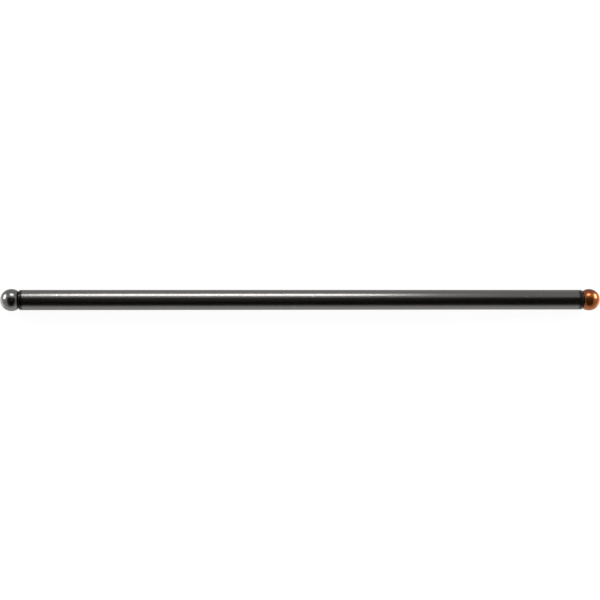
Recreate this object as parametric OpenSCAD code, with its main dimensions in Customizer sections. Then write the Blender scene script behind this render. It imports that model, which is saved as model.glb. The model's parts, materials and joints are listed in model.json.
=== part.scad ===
// Engine pushrod, in millimetres: a seamless steel tube with a drilled ball end
// pressed into each mouth. The rod lies along X, centred on the origin, with the
// lifter end at -X and the copper-plated rocker end at +X.

/* [Rod] */
// Length over both full ball radii, as if the oil holes were not drilled
rod_length = 262; // [150:0.5:400]

/* [Tube] */
// Outside diameter of the tube
tube_od = 8.73; // [7.5:0.01:10]
// Wall thickness of the tube
tube_wall = 2.03; // [1.2:0.01:2.5]
// Length along the axis of the chamfer on the outer corner of each tube end
end_chamfer_length = 0.4; // [0.1:0.05:1]
// Depth of that chamfer, from the outside diameter down to the end face
end_chamfer_depth = 0.75; // [0.2:0.05:1]
// Lead-in chamfer at each mouth of the bore, at 45 degrees
mouth_chamfer = 0.3; // [0.1:0.05:0.6]

/* [Ball ends] */
// Diameter of the ball at each end
ball_d = 9.525; // [8.5:0.005:12.7]
// Distance from the centre of the ball back to the shoulder that seats on the tube
shoulder_offset = 3.1; // [2:0.05:3.5]
// Length of the shank that is pressed into the tube
shank_length = 9; // [5:0.5:20]
// Chamfer on the tip of the shank, at 45 degrees
shank_chamfer = 0.5; // [0.2:0.05:0.6]
// Radial clearance between shank and bore; zero draws the press fit line to line
shank_clearance = 0; // [0:0.005:0.03]

/* [Oil passage] */
// Diameter of the oil hole drilled through each ball end
oil_hole_d = 1.6; // [1:0.05:2.4]
// Width of the countersink where the oil hole breaks out of the ball, at 45 degrees
countersink = 0.15; // [0.1:0.05:0.6]

/* [Hidden] */
$fn = 96;

tube_bore = tube_od - 2 * tube_wall;
shank_d = tube_bore - 2 * shank_clearance;

// Half the tube's length: each tube end is the seat that a ball end's shoulder meets
seat_x = (rod_length - ball_d) / 2 - shoulder_offset;

// Height above the shoulder at which the countersink meets the ball, from the sphere's own radius
countersink_r = oil_hole_d / 2 + countersink;
countersink_x = shoulder_offset + sqrt(pow(ball_d / 2, 2) - pow(countersink_r, 2));

// Length that a cutter runs past the face it breaks through
overrun = 1;

// Turns a shape drawn up the Z axis so that it runs along +X
module along_x() {
    rotate([0, 90, 0]) children();
}

// Round bar that starts at the origin and runs up Z, with a 45 degree chamfer on its far end
module bar_with_chamfer(d, length, chamfer) {
    cylinder(d = d, h = length - chamfer);
    translate([0, 0, length - chamfer])
        cylinder(d1 = d, d2 = d - 2 * chamfer, h = chamfer);
}

// Half of the tube's wall in section: radius across, height up the axis
module wall_section() {
    bore_r = tube_bore / 2;
    outer_r = tube_od / 2;
    polygon([
        [bore_r + mouth_chamfer, -seat_x],
        [outer_r - end_chamfer_depth, -seat_x],
        [outer_r, -seat_x + end_chamfer_length],
        [outer_r, seat_x - end_chamfer_length],
        [outer_r - end_chamfer_depth, seat_x],
        [bore_r + mouth_chamfer, seat_x],
        [bore_r, seat_x - mouth_chamfer],
        [bore_r, -seat_x + mouth_chamfer],
    ]);
}

// Ball cut flat at the shoulder, which lies at the origin, with its tip towards +X
module ball_head() {
    intersection() {
        translate([shoulder_offset, 0, 0]) sphere(d = ball_d);
        along_x() cylinder(d = 2 * ball_d, h = 2 * ball_d);
    }
}

// Shank that runs from inside the ball back past the shoulder into the tube
module shank() {
    translate([shoulder_offset, 0, 0])
        mirror([1, 0, 0])
            along_x()
                bar_with_chamfer(shank_d, shoulder_offset + shank_length, shank_chamfer);
}

// Cutter for the oil hole and for the countersink at the tip of the ball
module oil_passage() {
    hole_start_x = -shank_length - overrun;
    hole_end_x = shoulder_offset + ball_d / 2 + overrun;
    translate([hole_start_x, 0, 0])
        along_x() cylinder(d = oil_hole_d, h = hole_end_x - hole_start_x);
    translate([countersink_x - countersink, 0, 0])
        along_x()
            cylinder(
                d1 = oil_hole_d,
                d2 = oil_hole_d + 2 * (countersink + overrun),
                h = countersink + overrun
            );
}

// One drilled ball end; turn is the angle about Z that points its tip out of the rod
module ball_end(turn) {
    rotate([0, 0, turn])
        translate([seat_x, 0, 0])
            difference() {
                union() {
                    ball_head();
                    shank();
                }
                oil_passage();
            }
}

module tube() {
    color("dimgray")
        along_x() rotate_extrude() wall_section();
}

module lifter_ball_end() {
    color("darkgray") ball_end(180);
}

module rocker_ball_end() {
    color("peru") ball_end(0);
}

tube();
lifter_ball_end();
rocker_ball_end();
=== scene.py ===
import json
import math

import bpy
import numpy as np
from mathutils import Matrix, Vector


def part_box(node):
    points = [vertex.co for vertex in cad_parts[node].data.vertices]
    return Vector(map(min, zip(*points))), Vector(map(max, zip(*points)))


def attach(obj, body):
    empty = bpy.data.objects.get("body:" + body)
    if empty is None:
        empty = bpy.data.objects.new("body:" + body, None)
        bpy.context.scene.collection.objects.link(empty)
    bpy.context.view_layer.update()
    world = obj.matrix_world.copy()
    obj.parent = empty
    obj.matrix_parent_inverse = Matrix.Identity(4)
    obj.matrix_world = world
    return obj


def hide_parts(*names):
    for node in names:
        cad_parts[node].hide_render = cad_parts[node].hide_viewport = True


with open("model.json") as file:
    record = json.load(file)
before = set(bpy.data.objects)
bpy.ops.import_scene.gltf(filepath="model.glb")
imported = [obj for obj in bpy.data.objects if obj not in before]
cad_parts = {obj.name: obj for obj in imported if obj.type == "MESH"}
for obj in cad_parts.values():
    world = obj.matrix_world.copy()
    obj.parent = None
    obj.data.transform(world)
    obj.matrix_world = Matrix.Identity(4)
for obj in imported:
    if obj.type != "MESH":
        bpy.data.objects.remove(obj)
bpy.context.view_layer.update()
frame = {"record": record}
mm = 0.001  # sizes below are written in millimetres, and Blender works in metres

# Sizes that the frame gives: the seats' places, the oil hole and the radii
mounts = {mount["name"]: mount for mount in frame["record"]["mounts"]}
ballCentreX = mounts["rocker_seat"]["pos_m"][0]
oilHoleR = mounts["rocker_oil_hole"]["dims"]["r_mm"] * mm
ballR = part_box("rocker_ball_end")[1].z
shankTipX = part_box("rocker_ball_end")[0].x
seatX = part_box("tube")[1].x
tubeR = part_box("tube")[1].z
print("frame: seat at %.2f mm, tube radius %.3f mm" % (seatX / mm, tubeR / mm))

noiseMean = 0.5  # middle value of a noise texture


# sRGB hex to linear RGBA: each channel goes through the sRGB curve, and alpha is 1
def hexToLinear(hexColour):
    srgb = np.array([int(hexColour[i:i + 2], 16) for i in (1, 3, 5)]) / 255
    linear = np.where(srgb <= 0.04045, srgb / 12.92, ((srgb + 0.055) / 1.055) ** 2.4)
    return (*linear.tolist(), 1.0)


# One node: attrs go on the node, values on its inputs, and links come from other nodes' outputs
def addNode(tree, kind, attrs=None, values=None, links=None):
    node = tree.nodes.new(kind)
    for name, value in (attrs or {}).items():
        setattr(node, name, value)
    for name, value in (values or {}).items():
        node.inputs[name].default_value = value
    for name, source in (links or {}).items():
        tree.links.new(source, node.inputs[name])
    return node


# A material with an empty node tree and its output node
def newMaterial(name):
    material = bpy.data.materials.new(name)
    material.use_nodes = True
    tree = material.node_tree
    tree.nodes.clear()
    return material, tree, addNode(tree, "ShaderNodeOutputMaterial")


# Closed outline with its corners rounded: each corner is cut back on both sides by its radius times
# tan(half its turn) and bridged by an arc, and a support point stands a little further along each side
def roundCorners(corners, radii, arcSteps=6, support=0.05 * mm, closest=0.0001 * mm):
    before = corners - np.roll(corners, 1, axis=0)
    before /= np.linalg.norm(before, axis=1, keepdims=True)
    after = np.roll(before, -1, axis=0)
    cross = before[:, 0] * after[:, 1] - before[:, 1] * after[:, 0]
    turn = np.arctan2(cross, (before * after).sum(axis=1))
    cut = (radii * np.tan(np.abs(turn) / 2))[:, None]
    margin = np.where(radii > 0, support, 0)[:, None]
    start = corners - before * cut
    towardCentre = np.sign(turn)[:, None] * np.stack([-before[:, 1], before[:, 0]], axis=1)
    centre = start + towardCentre * radii[:, None]
    angle = turn[:, None] * np.linspace(0, 1, arcSteps)
    spoke = (start - centre)[:, None, :]
    arc = np.stack([
        spoke[..., 0] * np.cos(angle) - spoke[..., 1] * np.sin(angle),
        spoke[..., 0] * np.sin(angle) + spoke[..., 1] * np.cos(angle),
    ], axis=2) + centre[:, None, :]
    first = (start - before * margin)[:, None, :]
    last = (corners + after * (cut + margin))[:, None, :]
    outline = np.concatenate([first, arc, last], axis=1).reshape(-1, 2)
    step = np.linalg.norm(outline - np.roll(outline, 1, axis=0), axis=1)
    return outline[step > closest]  # a point on the spot of the one before it is dropped


# Surface of revolution about X: point (x, r) of a closed outline goes to (x, r cos t, r sin t) at
# angle t; the UV map has the angle across and the share of the outline's length upwards
def revolve(name, outline, segments):
    rings = len(outline)
    following = np.roll(outline, -1, axis=0)
    angle = np.linspace(0, 2 * math.pi, segments, endpoint=False)
    x = np.repeat(outline[:, 0], segments)
    y = np.outer(outline[:, 1], np.cos(angle)).ravel()
    z = np.outer(outline[:, 1], np.sin(angle)).ravel()
    i, j = np.meshgrid(np.arange(rings), np.arange(segments), indexing="ij")
    here = i * segments
    ahead = (i + 1) % rings * segments
    jNext = (j + 1) % segments
    quads = np.stack([here + j, ahead + j, ahead + jNext, here + jNext], axis=2)
    along = np.append(0, np.cumsum(np.linalg.norm(following - outline, axis=1)))
    u = np.stack([j, j, j + 1, j + 1], axis=2) / segments
    v = along[np.stack([i, i + 1, i + 1, i], axis=2)] / along[-1]
    uv = np.stack([u, v], axis=3)
    area = np.sum(outline[:, 0] * following[:, 1] - following[:, 0] * outline[:, 1])
    if area < 0:  # faces of a clockwise outline would point inwards
        quads = quads[..., ::-1]
        uv = uv[:, :, ::-1]
    mesh = bpy.data.meshes.new(name)
    mesh.from_pydata(np.stack([x, y, z], axis=1), [], quads.reshape(-1, 4))
    mesh.uv_layers.new(name="lathe").data.foreach_set("uv", uv.astype(np.float32).ravel())
    mesh.shade_smooth()
    mesh.validate()
    piece = bpy.data.objects.new(name, mesh)
    bpy.context.scene.collection.objects.link(piece)
    return piece


# Puts a finished piece in the frame in place of its CAD node
def fitPiece(piece, node, material):
    piece.data.materials.append(material)
    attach(piece, "root")
    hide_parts(node)
    print("piece %s: %d faces, for %s" % (piece.name, len(piece.data.polygons), node))


# Tube of black-oxide steel, drawn, polished and oiled. The eye gets a dark, glossy grey that the drawing
# lines blur around the tube, pale specks where the skin is chipped, and at each end a band of black heat
# scale, which is no metal to the eye and only shines at a slant
tubeSettings = {
    "boreR": 2.335 * mm,
    "chamferLength": 0.4 * mm,
    "chamferDepth": 0.75 * mm,
    "mouthChamfer": 0.3 * mm,
    "cornerR": 0.12 * mm,  # where the chamfer meets the outside
    "edgeR": 0.08 * mm,  # all other edges
    "segments": 160,
    "colour": "#706f6e",
    "streakColour": "#676665",
    "cloudColour": "#73706d",
    "speckColour": "#b9b8b4",
    "lifterScaleColour": "#050505",
    "rockerScaleColour": "#16130a",
    "edgeTint": "#d4d4d4",  # share of the mirror that stays at grazing angles on a drawn surface
    "roughness": (0.22, 0.26),
    "scaleRoughness": 0.2,
    "anisotropy": 0.6,
    "streakWidth": 0.45 * mm,  # real drawing lines are ten times finer, too fine to show from here
    "streakLength": 18 * mm,
    "streakDetail": 3.0,
    "streakDepth": 0.0006 * mm,
    "cloud": 9 * mm,
    "cloudDetail": 2.0,
    "cloudShare": 0.5,
    "speckSpacing": 5 * mm,
    "speckR": 0.26 * mm,
    "speckCoreR": 0.13 * mm,
    "lifterScale": 0.85 * mm,  # reach of the scale from the chamfer
    "rockerScale": 1.35 * mm,
    "scaleFade": 0.5 * mm,
    "scaleRagged": 0.3 * mm,
    "scaleDark": 0.5,  # share of the fade in which the colour darkens; in the rest the metal goes
}


# Wall in section: four corners of one end, from the bore over the mouth's lead-in and the end face to the
# outer chamfer, mirrored in x for the other end, rounded and revolved
def drawnTube(tube):
    end = np.array([
        [seatX - tube["mouthChamfer"], tube["boreR"]],
        [seatX, tube["boreR"] + tube["mouthChamfer"]],
        [seatX, tubeR - tube["chamferDepth"]],
        [seatX - tube["chamferLength"], tubeR],
    ])
    corners = np.concatenate([end, end[::-1] * [-1, 1]])
    radii = np.where(corners[:, 1] == tubeR, tube["cornerR"], tube["edgeR"])
    return revolve("drawnTube", roundCorners(corners, radii), tube["segments"])


# Colour: streak noise mixes two greys, cloud noise warms them, and a point near the middle of its cell
# is a pale speck. Scale at each end: a smooth step of x plus streak noise, to a dark colour with no
# metal. Streak noise also sets the roughness and a shallow bump
def blackOxideSteel(tube):
    material, tree, output = newMaterial("blackOxideSteel")
    place = addNode(tree, "ShaderNodeTexCoord").outputs["Object"]
    stretch = (1 / tube["streakLength"], 1 / tube["streakWidth"], 1 / tube["streakWidth"])
    streakPlace = addNode(tree, "ShaderNodeMapping", values={"Scale": stretch}, links={"Vector": place})
    streaks = addNode(tree, "ShaderNodeTexNoise", values={"Scale": 1.0, "Detail": tube["streakDetail"]},
                      links={"Vector": streakPlace.outputs["Vector"]}).outputs["Fac"]
    clouds = addNode(tree, "ShaderNodeTexNoise",
                     values={"Scale": 1 / tube["cloud"], "Detail": tube["cloudDetail"]},
                     links={"Vector": place}).outputs["Fac"]
    warmth = addNode(tree, "ShaderNodeMath", {"operation": "MULTIPLY"}, {1: tube["cloudShare"]},
                     {0: clouds}).outputs["Value"]
    colour = addNode(tree, "ShaderNodeMix", {"data_type": "RGBA"},
                     {"A": hexToLinear(tube["streakColour"]), "B": hexToLinear(tube["colour"])},
                     {"Factor": streaks}).outputs["Result"]
    colour = addNode(tree, "ShaderNodeMix", {"data_type": "RGBA"},
                     {"B": hexToLinear(tube["cloudColour"])},
                     {"Factor": warmth, "A": colour}).outputs["Result"]
    fromCell = addNode(tree, "ShaderNodeTexVoronoi", values={"Scale": 1 / tube["speckSpacing"]},
                       links={"Vector": place}).outputs["Distance"]
    specks = addNode(tree, "ShaderNodeMapRange",
                     values={"From Min": tube["speckR"] / tube["speckSpacing"],
                             "From Max": tube["speckCoreR"] / tube["speckSpacing"]},
                     links={"Value": fromCell}).outputs["Result"]
    colour = addNode(tree, "ShaderNodeMix", {"data_type": "RGBA"},
                     {"B": hexToLinear(tube["speckColour"])},
                     {"Factor": specks, "A": colour}).outputs["Result"]
    rough = addNode(tree, "ShaderNodeMapRange",
                    values={"To Min": tube["roughness"][0], "To Max": tube["roughness"][1]},
                    links={"Value": streaks}).outputs["Result"]
    x = addNode(tree, "ShaderNodeSeparateXYZ", links={"Vector": place}).outputs["X"]
    ragged = addNode(tree, "ShaderNodeMath", {"operation": "MULTIPLY_ADD"}, {1: tube["scaleRagged"]},
                     {0: streaks, 2: x}).outputs["Value"]
    scales = []
    for side, end in ((-1, "lifterScale"), (1, "rockerScale")):
        reach = side * (seatX - tube["chamferLength"] - tube[end])
        full = reach + noiseMean * tube["scaleRagged"]
        scale = addNode(tree, "ShaderNodeMapRange", {"interpolation_type": "SMOOTHSTEP"},
                        {"From Min": full - side * tube["scaleFade"], "From Max": full},
                        {"Value": ragged}).outputs["Result"]
        dark = addNode(tree, "ShaderNodeMapRange", values={"From Max": tube["scaleDark"]},
                       links={"Value": scale}).outputs["Result"]
        colour = addNode(tree, "ShaderNodeMix", {"data_type": "RGBA"},
                         {"B": hexToLinear(tube[end + "Colour"])},
                         {"Factor": dark, "A": colour}).outputs["Result"]
        rough = addNode(tree, "ShaderNodeMix", values={"B": tube["scaleRoughness"]},
                        links={"Factor": scale, "A": rough}).outputs["Result"]
        scales.append(scale)
    scaled = addNode(tree, "ShaderNodeMath", {"operation": "MAXIMUM"},
                     links={0: scales[0], 1: scales[1]}).outputs["Value"]
    metal = addNode(tree, "ShaderNodeMapRange", values={"From Min": 1.0, "From Max": tube["scaleDark"]},
                    links={"Value": scaled}).outputs["Result"]
    bump = addNode(tree, "ShaderNodeBump", values={"Strength": 1.0, "Distance": tube["streakDepth"]},
                   links={"Height": streaks}).outputs["Normal"]
    tangent = addNode(tree, "ShaderNodeTangent", {"direction_type": "UV_MAP", "uv_map": "lathe"})
    shader = addNode(tree, "ShaderNodeBsdfPrincipled",
                     values={"Anisotropic": tube["anisotropy"],
                             "Specular Tint": hexToLinear(tube["edgeTint"])},
                     links={"Base Color": colour, "Metallic": metal, "Roughness": rough,
                            "Normal": bump, "Tangent": tangent.outputs["Tangent"]})
    tree.links.new(shader.outputs["BSDF"], output.inputs["Surface"])
    return material


fitPiece(drawnTube(tubeSettings), "tube", blackOxideSteel(tubeSettings))

# Ball end at the lifter, of hardened bearing steel, ground and tumbled: a mid grey mirror, softened by
# fine rings and dull patches, with painted shade in the groove behind the ball and on its back
lifterSettings = {
    "name": "lifterBall",
    "side": -1,  # way along X that its tip points
    "shankR": tubeSettings["boreR"],  # a press fit in the tube
    "shankChamfer": 0.5 * mm,
    "countersink": 0.15 * mm,
    "edgeR": 0.06 * mm,
    "sphereSteps": 72,
    "segments": 144,
    "material": "hardenedSteel",
    "colour": "#7c7b7a",
    "dullColour": "#706f6e",
    # painted shade: the back of the ball, towards +y, is darker
    "backShadeColour": "#6e6d6c",
    "back": (0.1, 0.8),  # where the back's colour starts and is full, in ball radii along y
    # painted shade in the groove behind the ball
    "grooveShadeColour": "#1c1b1a",
    "neck": 0.9 * mm,  # reach of the painted shade in the groove from the shoulder
    "metal": 1.0,
    "film": 0.0,  # weight of an oxide film on the metal
    "filmRoughness": 0.22,
    "filmIor": 2.7,  # cuprous oxide
    "edgeTint": "#d4d4d4",
    "roughness": (0.22, 0.27),
    "blotch": 1.6 * mm,
    "blotchDetail": 3.0,
    "ringPitch": 0.22 * mm,  # real grinding rings are ten times finer
    "ringLength": 16 * mm,
    "ringDetail": 2.0,
    "ringDepth": 0.0008 * mm,
}
# Ball end at the rocker: the same form under a copper flash, a thin bright plating that is orange where
# it is fresh and brown where it is thin, with painted shade, darker and redder, on its back, and a pale
# gloss from its film
rockerSettings = {
    **lifterSettings,
    "name": "rockerBall",
    "side": 1,
    "material": "copperFlash",
    "colour": "#a36029",
    "dullColour": "#863c16",
    # painted shade: the back of the ball, towards +y, is darker and redder
    "backShadeColour": "#6e3018",
    "back": (0.4, 1.0),
    # painted shade in the groove behind the ball
    "grooveShadeColour": "#2a1408",
    "neck": 0.45 * mm,
    "metal": 0.88,  # the rest is tarnish, which is no metal
    "film": 0.08,
    "roughness": (0.25, 0.30),
    "blotch": 1.8 * mm,
    "ringLength": 18 * mm,
}


# Half section: the sphere's arc from the shoulder to the countersink, then the oil hole, the shank's tip
# and the shank back to the shoulder, rounded, revolved and mirrored in x by its side
def drilledBall(ball):
    sinkR = oilHoleR + ball["countersink"]
    sinkX = ballCentreX + math.sqrt(ballR ** 2 - sinkR ** 2)
    shoulderAngle = math.acos((seatX - ballCentreX) / ballR)
    sinkAngle = math.asin(sinkR / ballR)
    fromAxis = np.linspace(shoulderAngle, sinkAngle, ball["sphereSteps"])
    sphere = np.stack([ballCentreX + ballR * np.cos(fromAxis), ballR * np.sin(fromAxis)], axis=1)
    rear = np.array([
        [sinkX - ball["countersink"], oilHoleR],
        [shankTipX, oilHoleR],
        [shankTipX, ball["shankR"] - ball["shankChamfer"]],
        [shankTipX + ball["shankChamfer"], ball["shankR"]],
        [seatX, ball["shankR"]],
    ])
    corners = np.concatenate([sphere, rear])
    radii = np.full(len(corners), ball["edgeR"])
    radii[1:ball["sphereSteps"] - 1] = 0  # points along the sphere are no corners
    outline = roundCorners(corners, radii) * [ball["side"], 1]
    return revolve(ball["name"], outline, ball["segments"])


# Colour: blotch noise mixes dull and fresh, a smooth step of y plus that noise paints shade on the back,
# and one of the distance from the shoulder paints shade in the groove. Fresh blotches are the
# smoother ones, and noise stretched around the axis gives the bump of the grinding rings
def groundBall(ball):
    material, tree, output = newMaterial(ball["material"])
    place = addNode(tree, "ShaderNodeTexCoord").outputs["Object"]
    blotches = addNode(tree, "ShaderNodeTexNoise",
                       values={"Scale": 1 / ball["blotch"], "Detail": ball["blotchDetail"]},
                       links={"Vector": place}).outputs["Fac"]
    colour = addNode(tree, "ShaderNodeMix", {"data_type": "RGBA"},
                     {"A": hexToLinear(ball["dullColour"]), "B": hexToLinear(ball["colour"])},
                     {"Factor": blotches}).outputs["Result"]
    y = addNode(tree, "ShaderNodeSeparateXYZ", links={"Vector": place}).outputs["Y"]
    ragged = addNode(tree, "ShaderNodeMath", {"operation": "MULTIPLY_ADD"}, {1: ball["blotch"]},
                     {0: blotches, 2: y}).outputs["Value"]
    # painted shade: the back, towards +y, darkens to the back's shade colour
    back = addNode(tree, "ShaderNodeMapRange", {"interpolation_type": "SMOOTHSTEP"},
                   {"From Min": ball["back"][0] * ballR, "From Max": ball["back"][1] * ballR},
                   {"Value": ragged}).outputs["Result"]
    colour = addNode(tree, "ShaderNodeMix", {"data_type": "RGBA"},
                     {"B": hexToLinear(ball["backShadeColour"])},
                     {"Factor": back, "A": colour}).outputs["Result"]
    folded = addNode(tree, "ShaderNodeVectorMath", {"operation": "ABSOLUTE"}, links={0: place})
    fromMiddle = addNode(tree, "ShaderNodeSeparateXYZ", links={"Vector": folded.outputs["Vector"]})
    # painted shade in the groove behind the ball, next to the shoulder
    grooveShade = addNode(tree, "ShaderNodeMapRange", {"interpolation_type": "SMOOTHSTEP"},
                    {"From Min": seatX + ball["neck"], "From Max": seatX},
                    {"Value": fromMiddle.outputs["X"]}).outputs["Result"]
    colour = addNode(tree, "ShaderNodeMix", {"data_type": "RGBA"},
                     {"B": hexToLinear(ball["grooveShadeColour"])},
                     {"Factor": grooveShade, "A": colour}).outputs["Result"]
    rough = addNode(tree, "ShaderNodeMapRange",
                    values={"To Min": ball["roughness"][1], "To Max": ball["roughness"][0]},
                    links={"Value": blotches}).outputs["Result"]
    ringScale = (1 / ball["ringPitch"], 1 / ball["ringLength"], 1 / ball["ringLength"])
    ringPlace = addNode(tree, "ShaderNodeMapping", values={"Scale": ringScale}, links={"Vector": place})
    rings = addNode(tree, "ShaderNodeTexNoise", values={"Scale": 1.0, "Detail": ball["ringDetail"]},
                    links={"Vector": ringPlace.outputs["Vector"]}).outputs["Fac"]
    bump = addNode(tree, "ShaderNodeBump", values={"Strength": 1.0, "Distance": ball["ringDepth"]},
                   links={"Height": rings}).outputs["Normal"]
    shader = addNode(tree, "ShaderNodeBsdfPrincipled",
                     values={"Metallic": ball["metal"],
                             "Specular Tint": hexToLinear(ball["edgeTint"]),
                             "Coat Weight": ball["film"],
                             "Coat Roughness": ball["filmRoughness"],
                             "Coat IOR": ball["filmIor"]},
                     links={"Base Color": colour, "Roughness": rough, "Normal": bump})
    tree.links.new(shader.outputs["BSDF"], output.inputs["Surface"])
    return material


lifterBall = drilledBall(lifterSettings)
rockerBall = drilledBall(rockerSettings)
fitPiece(lifterBall, "lifter_ball_end", groundBall(lifterSettings))
fitPiece(rockerBall, "rocker_ball_end", groundBall(rockerSettings))

# Camera: it looks down on the rod, which fills the frame from side to side
cameraSettings = {
    "frameSide": 600,  # pixels
    "tipMargin": 0.1,  # pixels between a ball tip and the frame's edge
    "distance": 580 * mm,
    "elevation": 75,  # this and the next three are in degrees
    "yaw": 4.35,  # how far the camera stands towards the lifter end
    "roll": -0.037,
    "pitch": -0.006,
    "sensor": 36,  # millimetres, as Blender takes it
    "clip": (10 * mm, 50000 * mm),
}


# The camera stands at a distance and angles from the rod's middle; its axis halves the angle between the
# rays that touch both ball tips, and its lens puts those rays on the frame's side edges
def standCamera(view):
    elevation = math.radians(view["elevation"])
    yaw = math.radians(view["yaw"])
    straight = math.cos(yaw)
    eye = Vector((-math.sin(yaw), -straight * math.cos(elevation), straight * math.sin(elevation)))
    eye *= view["distance"]
    ends = [Vector((side * ballCentreX, 0, 0)) - eye for side in (-1, 1)]
    rays = []
    for end, other in zip(ends, ends[::-1]):
        toward = end.normalized()
        outward = -(other - other.dot(toward) * toward).normalized()
        grow = math.asin(ballR / end.length)
        rays.append(toward * math.cos(grow) + outward * math.sin(grow))
    forward = (rays[0] + rays[1]).normalized()
    right = (rays[1] - rays[0]).normalized()
    turn = Matrix((right, right.cross(forward), -forward)).transposed().to_4x4()
    pitch = Matrix.Rotation(math.radians(view["pitch"]), 4, "X")
    roll = Matrix.Rotation(math.radians(view["roll"]), 4, "Z")
    halfAngle = rays[0].angle(rays[1]) / 2
    halfShare = 0.5 - view["tipMargin"] / view["frameSide"]
    data = bpy.data.cameras.new("photoCamera")
    data.sensor_width = view["sensor"]
    data.lens = view["sensor"] * halfShare / math.tan(halfAngle)
    data.clip_start, data.clip_end = view["clip"]
    camera = bpy.data.objects.new("photoCamera", data)
    camera.matrix_world = Matrix.Translation(eye) @ turn @ pitch @ roll
    bpy.context.scene.collection.objects.link(camera)
    bpy.context.scene.camera = camera
    return camera


camera = standCamera(cameraSettings)
print("camera: lens %.1f mm" % camera.data.lens)


# A flat rectangle of given sides, facing along +Z before it is turned
def flatCard(name, width, height, material):
    x, y = width / 2, height / 2
    mesh = bpy.data.meshes.new(name)
    mesh.from_pydata([(-x, -y, 0), (x, -y, 0), (x, y, 0), (-x, y, 0)], [], [(0, 1, 2, 3)])
    mesh.materials.append(material)
    card = bpy.data.objects.new(name, mesh)
    bpy.context.scene.collection.objects.link(card)
    return card


# Floor: white paper, most of it seen as it is written and the rest lit, so that the rod's shadow stays.
# In the metal it is brightest just before the rod, with a pool of light before each end
floorSettings = {
    "side": 8000 * mm,
    "own": 0.95,  # white that is seen without any light
    "lit": "#4c4c4c",
    "near": 1.2,  # glow in the metal just before the rod, and far from it
    "far": 0.78,
    "nearY": -10 * mm,
    "farFrom": 35 * mm,  # distance from the near line at which it is down to far
    "pool": 1.6,  # glow that is added in the middle of a pool
    "poolX": 143 * mm,
    "poolY": -2 * mm,
    "poolR": 12 * mm,
    "poolCoreR": 4.8 * mm,
}


# Glow: own white for camera and transmission rays; for glossy rays a straight fade with the distance in y
# from the near line, plus a smooth step of the distance from either pool, found with x made positive
def whiteFloor(paper):
    material, tree, output = newMaterial("whitePaper")
    ray = addNode(tree, "ShaderNodeLightPath").outputs
    seen = addNode(tree, "ShaderNodeMath", {"operation": "ADD"},
                   links={0: ray["Is Camera Ray"], 1: ray["Is Transmission Ray"]}).outputs["Value"]
    direct = addNode(tree, "ShaderNodeMath", {"operation": "MULTIPLY"}, {1: paper["own"]},
                     {0: seen}).outputs["Value"]
    place = addNode(tree, "ShaderNodeTexCoord").outputs["Object"]
    y = addNode(tree, "ShaderNodeSeparateXYZ", links={"Vector": place}).outputs["Y"]
    across = addNode(tree, "ShaderNodeMath", {"operation": "SUBTRACT"}, {1: paper["nearY"]},
                     {0: y}).outputs["Value"]
    across = addNode(tree, "ShaderNodeMath", {"operation": "ABSOLUTE"},
                     links={0: across}).outputs["Value"]
    wash = addNode(tree, "ShaderNodeMapRange",
                   values={"From Max": paper["farFrom"], "To Min": paper["near"], "To Max": paper["far"]},
                   links={"Value": across}).outputs["Result"]
    folded = addNode(tree, "ShaderNodeVectorMath", {"operation": "ABSOLUTE"}, links={0: place})
    fromMiddle = addNode(tree, "ShaderNodeSeparateXYZ", links={"Vector": folded.outputs["Vector"]})
    spot = addNode(tree, "ShaderNodeCombineXYZ", links={"X": fromMiddle.outputs["X"], "Y": y})
    fromPool = addNode(tree, "ShaderNodeVectorMath", {"operation": "DISTANCE"},
                       {1: (paper["poolX"], paper["poolY"], 0)},
                       {0: spot.outputs["Vector"]}).outputs["Value"]
    pool = addNode(tree, "ShaderNodeMapRange", {"interpolation_type": "SMOOTHSTEP"},
                   {"From Min": paper["poolR"], "From Max": paper["poolCoreR"], "To Max": paper["pool"]},
                   {"Value": fromPool}).outputs["Result"]
    inMetal = addNode(tree, "ShaderNodeMath", {"operation": "ADD"},
                      links={0: wash, 1: pool}).outputs["Value"]
    strength = addNode(tree, "ShaderNodeMath", {"operation": "MULTIPLY_ADD"},
                       links={0: ray["Is Glossy Ray"], 1: inMetal, 2: direct}).outputs["Value"]
    glow = addNode(tree, "ShaderNodeEmission", links={"Strength": strength}).outputs["Emission"]
    lit = addNode(tree, "ShaderNodeBsdfDiffuse", values={"Color": hexToLinear(paper["lit"])})
    both = addNode(tree, "ShaderNodeAddShader", links={0: glow, 1: lit.outputs["BSDF"]})
    tree.links.new(both.outputs["Shader"], output.inputs["Surface"])
    material.cycles.emission_sampling = "NONE"  # its glow is no lamp: only rays that see it carry it
    floor = flatCard("floor", paper["side"], paper["side"], material)
    floor.location.z = -ballR


whiteFloor(floorSettings)

# World: a white room, dimmer in the metal, that lights at a plain level
roomSettings = {
    "colour": "#ffffff",
    "seen": 1.0,
    "mirrored": 0.64,
    "lighting": 0.48,
}


# Strength: seen for camera rays, lighting for diffuse rays and mirrored for all others
def whiteRoom(room):
    world = bpy.data.worlds.new("whiteRoom")
    world.use_nodes = True
    tree = world.node_tree
    tree.nodes.clear()
    ray = addNode(tree, "ShaderNodeLightPath").outputs
    unseen = addNode(tree, "ShaderNodeMapRange",
                     values={"To Min": room["mirrored"], "To Max": room["lighting"]},
                     links={"Value": ray["Is Diffuse Ray"]}).outputs["Result"]
    strength = addNode(tree, "ShaderNodeMix", values={"B": room["seen"]},
                       links={"Factor": ray["Is Camera Ray"], "A": unseen}).outputs["Result"]
    sky = addNode(tree, "ShaderNodeBackground", values={"Color": hexToLinear(room["colour"])},
                  links={"Strength": strength})
    addNode(tree, "ShaderNodeOutputWorld", links={"Surface": sky.outputs["Background"]})
    bpy.context.scene.world = world


whiteRoom(roomSettings)

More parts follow.
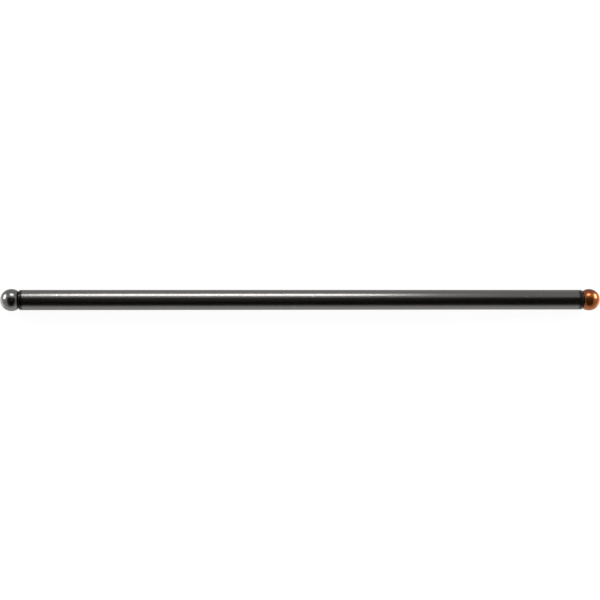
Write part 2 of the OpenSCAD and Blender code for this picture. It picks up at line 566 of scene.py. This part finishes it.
# Softboxes: each hangs off the rod's middle (0) or a ball (-1 lifter, 1 rocker), in a direction in the
# camera's own axes (right, up, towards it), with its width along a world direction and power in watts
softboxes = [
    {"name": "topSoftbox", "from": 0, "towards": (-0.013, 0.85, 0.51), "distance": 760 * mm,
     "along": (1, 0, 0), "width": 362 * mm, "height": 190 * mm, "power": 2.74},
    {"name": "leftSoftbox", "from": -1, "towards": (-0.845, 0.441, 0.302), "distance": 300 * mm,
     "along": (0, 1, -0.15), "width": 160 * mm, "height": 85 * mm, "power": 0.7},
    {"name": "rightSoftbox", "from": 1, "towards": (0.836, 0.483, 0.261), "distance": 300 * mm,
     "along": (0, 1, -0.15), "width": 170 * mm, "height": 92 * mm, "power": 1.05},
]


# The lamp faces back along its direction, and its width is what is left of the wanted direction when the
# part along the lamp's own axis is taken off
def hangSoftbox(box):
    lamp = bpy.data.lights.new(box["name"], "AREA")
    lamp.shape = "RECTANGLE"
    lamp.size = box["width"]
    lamp.size_y = box["height"]
    lamp.energy = box["power"]
    away = (camera.matrix_world.to_3x3() @ Vector(box["towards"])).normalized()
    along = Vector(box["along"])
    along = (along - along.dot(away) * away).normalized()
    turn = Matrix((along, away.cross(along), away)).transposed().to_4x4()
    place = Vector((box["from"] * ballCentreX, 0, 0)) + away * box["distance"]
    hung = bpy.data.objects.new(box["name"], lamp)
    hung.matrix_world = Matrix.Translation(place) @ turn
    bpy.context.scene.collection.objects.link(hung)


for box in softboxes:
    hangSoftbox(box)

# Felt flag around the lens, brown black, with painted light that makes it greyer close to the lens: only
# the metal sees it, as the dark middle of its reflections
flagSettings = {
    "width": 1180 * mm,
    "height": 1785 * mm,
    "shift": 60 * mm,  # how far the flag's middle lies right of the lens and below it
    "drop": 568 * mm,
    "colour": "#3c2a20",
    # painted light on the flag close to the lens
    "lensGlowColour": "#83786f",
    "lensR": 280 * mm,
}


# Colour: painted light, a smooth step of the distance from the lens out to lensR; the card stands in the
# camera's plane
def lensFlag(felt):
    material, tree, output = newMaterial("blackFelt")
    place = addNode(tree, "ShaderNodeTexCoord").outputs["Object"]
    fromLens = addNode(tree, "ShaderNodeVectorMath", {"operation": "DISTANCE"},
                       {1: (-felt["shift"], felt["drop"], 0)}, {0: place}).outputs["Value"]
    # painted light: the felt turns greyer towards the lens
    lensGlow = addNode(tree, "ShaderNodeMapRange", {"interpolation_type": "SMOOTHSTEP"},
                       {"From Min": felt["lensR"], "From Max": 0.0},
                       {"Value": fromLens}).outputs["Result"]
    colour = addNode(tree, "ShaderNodeMix", {"data_type": "RGBA"},
                     {"A": hexToLinear(felt["colour"]), "B": hexToLinear(felt["lensGlowColour"])},
                     {"Factor": lensGlow}).outputs["Result"]
    matt = addNode(tree, "ShaderNodeBsdfDiffuse", links={"Color": colour})
    tree.links.new(matt.outputs["BSDF"], output.inputs["Surface"])
    flag = flatCard("lensFlag", felt["width"], felt["height"], material)
    flag.matrix_world = camera.matrix_world @ Matrix.Translation((felt["shift"], -felt["drop"], 0))
    flag.visible_camera = False
    flag.visible_diffuse = False
    flag.visible_shadow = False
    flag.visible_transmission = False


lensFlag(flagSettings)
bpy.context.scene.view_settings.view_transform = "Standard"
print("stage: floor, room, %d softboxes and the lens flag" % len(softboxes))
